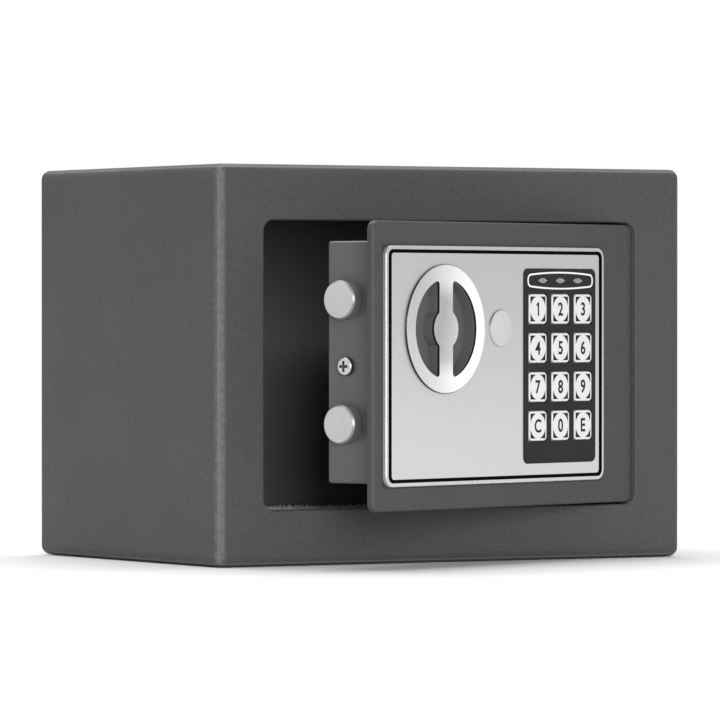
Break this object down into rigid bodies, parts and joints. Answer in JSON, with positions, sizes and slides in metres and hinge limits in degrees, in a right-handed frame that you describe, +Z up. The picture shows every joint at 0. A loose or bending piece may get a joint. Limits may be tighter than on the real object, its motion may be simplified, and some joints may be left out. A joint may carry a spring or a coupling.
{
  "type": "mini safe",
  "caption": "Compact steel safe box with an ajar hinged door carrying a keypad, a flush turning knob with sliding lock bolts, a capped emergency key lock and a battery tray.",
  "frame": {"origin": "middle of the case's underside, where it stands", "axes": "+X to the right seen from the front, +Y from the door to the back, +Z up"},
  "size_m": [0.233, 0.2294, 0.17],
  "materials": {
    "case_paint": "fine textured dark grey powder coat",
    "cover_paint": "smooth dark grey paint",
    "carpet": "short speckled grey pile",
    "dark_steel": "blackened",
    "steel": "zinc plated",
    "silver": "silver lacquered plastic, satin",
    "black": "black moulded plastic",
    "key_white": "pale keys",
    "window_line": "printed pale outline",
    "lamp": "clear light pipes",
    "membrane": "soft silicone",
    "board": "green lacquered board",
    "brass": "turned",
    "winding": "taped coil",
    "cell": "plain sleeve",
    "reset_red": "plain red"
  },
  "bodies": {
    "case": {"body_wrap": "case_paint", "back_panel": "case_paint", "front_frame": "case_paint", "hinge_bushes": "dark_steel", "floor_mat": "carpet"},
    "door": {"door_panel": "case_paint", "hinge_lugs": "cover_paint", "hinge_pins": "dark_steel", "fascia_frame": "silver", "fascia_trim": "black", "fascia_plate": "silver", "fascia_screws": "steel", "keypad_plate": "black", "keypad_membrane": "membrane", "circuit_board": "board", "indicator_lamps": "lamp", "indicator_window": "window_line", "guide_posts": "steel", "solenoid_frame": "steel", "solenoid_coil": "winding", "override_barrel": "brass", "override_nut": "steel", "battery_tray": "black", "battery_cells": "cell", "reset_switch": "black", "lock_cover": "cover_paint", "cover_brackets": "cover_paint", "cover_screws": "steel"},
    "knob": {"knob_face": "silver", "knob_cup": "black", "knob_retainer": "steel", "crank_screw": "steel", "drive_crank": "steel"},
    "bolts": {"bolt_carriage": "steel", "bolt_upper": "steel", "bolt_lower": "steel", "bolt_rivets": "steel"},
    "plunger": {"solenoid_plunger": "steel", "release_bracket": "steel"},
    "keyhole_cap": {"keyhole_cap": "silver"},
    "key_lock": {"override_plug": "brass", "override_cam": "brass"},
    "reset_button": {"reset_button": "reset_red"},
    "battery_lid": {"battery_lid": "black"},
    "key_1": {"key_1": "key_white"},
    "key_2": {"key_2": "key_white"},
    "key_3": {"key_3": "key_white"},
    "key_4": {"key_4": "key_white"},
    "key_5": {"key_5": "key_white"},
    "key_6": {"key_6": "key_white"},
    "key_7": {"key_7": "key_white"},
    "key_8": {"key_8": "key_white"},
    "key_9": {"key_9": "key_white"},
    "key_clear": {"key_clear": "key_white"},
    "key_0": {"key_0": "key_white"},
    "key_enter": {"key_enter": "key_white"}
  },
  "joints": [
    {"name": "door_swing", "type": "hinge", "parent": "case", "child": "door", "pos_m": [0.0868, -0.0791, 0.085], "axis": [0, 0, 1], "range_deg": [-21.5, 73.5]},
    {"name": "knob_turn", "type": "hinge", "parent": "door", "child": "knob", "pos_m": [-0.03605, -0.13061, 0.1003], "axis": [0.3665, -0.9304, 0], "range_deg": [0, 60]},
    {"name": "bolt_slide", "type": "slide", "parent": "door", "child": "bolts", "axis": [-0.9304, -0.3665, 0], "range_m": [0, 0.014]},
    {"name": "plunger_slide", "type": "slide", "parent": "door", "child": "plunger", "axis": [0, 0, -1], "range_m": [0, 0.004]},
    {"name": "cap_pull", "type": "slide", "parent": "door", "child": "keyhole_cap", "axis": [0.3665, -0.9304, 0], "range_m": [0, 0.012]},
    {"name": "key_lock_turn", "type": "hinge", "parent": "door", "child": "key_lock", "pos_m": [0.00052, -0.11621, 0.1005], "axis": [0.3665, -0.9304, 0], "range_deg": [-90, 0]},
    {"name": "reset_press", "type": "slide", "parent": "door", "child": "reset_button", "axis": [0.3665, -0.9304, 0], "range_m": [0, 0.001], "stiffness_N_per_m": 600},
    {"name": "lid_pull", "type": "slide", "parent": "door", "child": "battery_lid", "axis": [-0.3665, 0.9304, 0], "range_m": [0, 0.02]},
    {"name": "key_1_press", "type": "slide", "parent": "door", "child": "key_1", "axis": [-0.3665, 0.9304, 0], "range_m": [0, 0.001], "stiffness_N_per_m": 600},
    {"name": "key_2_press", "type": "slide", "parent": "door", "child": "key_2", "axis": [-0.3665, 0.9304, 0], "range_m": [0, 0.001], "stiffness_N_per_m": 600},
    {"name": "key_3_press", "type": "slide", "parent": "door", "child": "key_3", "axis": [-0.3665, 0.9304, 0], "range_m": [0, 0.001], "stiffness_N_per_m": 600},
    {"name": "key_4_press", "type": "slide", "parent": "door", "child": "key_4", "axis": [-0.3665, 0.9304, 0], "range_m": [0, 0.001], "stiffness_N_per_m": 600},
    {"name": "key_5_press", "type": "slide", "parent": "door", "child": "key_5", "axis": [-0.3665, 0.9304, 0], "range_m": [0, 0.001], "stiffness_N_per_m": 600},
    {"name": "key_6_press", "type": "slide", "parent": "door", "child": "key_6", "axis": [-0.3665, 0.9304, 0], "range_m": [0, 0.001], "stiffness_N_per_m": 600},
    {"name": "key_7_press", "type": "slide", "parent": "door", "child": "key_7", "axis": [-0.3665, 0.9304, 0], "range_m": [0, 0.001], "stiffness_N_per_m": 600},
    {"name": "key_8_press", "type": "slide", "parent": "door", "child": "key_8", "axis": [-0.3665, 0.9304, 0], "range_m": [0, 0.001], "stiffness_N_per_m": 600},
    {"name": "key_9_press", "type": "slide", "parent": "door", "child": "key_9", "axis": [-0.3665, 0.9304, 0], "range_m": [0, 0.001], "stiffness_N_per_m": 600},
    {"name": "key_clear_press", "type": "slide", "parent": "door", "child": "key_clear", "axis": [-0.3665, 0.9304, 0], "range_m": [0, 0.001], "stiffness_N_per_m": 600},
    {"name": "key_0_press", "type": "slide", "parent": "door", "child": "key_0", "axis": [-0.3665, 0.9304, 0], "range_m": [0, 0.001], "stiffness_N_per_m": 600},
    {"name": "key_enter_press", "type": "slide", "parent": "door", "child": "key_enter", "axis": [-0.3665, 0.9304, 0], "range_m": [0, 0.001], "stiffness_N_per_m": 600}
  ],
  "couplings": [
    {"joint": "knob_turn", "follows": "bolt_slide", "rad_per_m": 74.799}
  ]
}
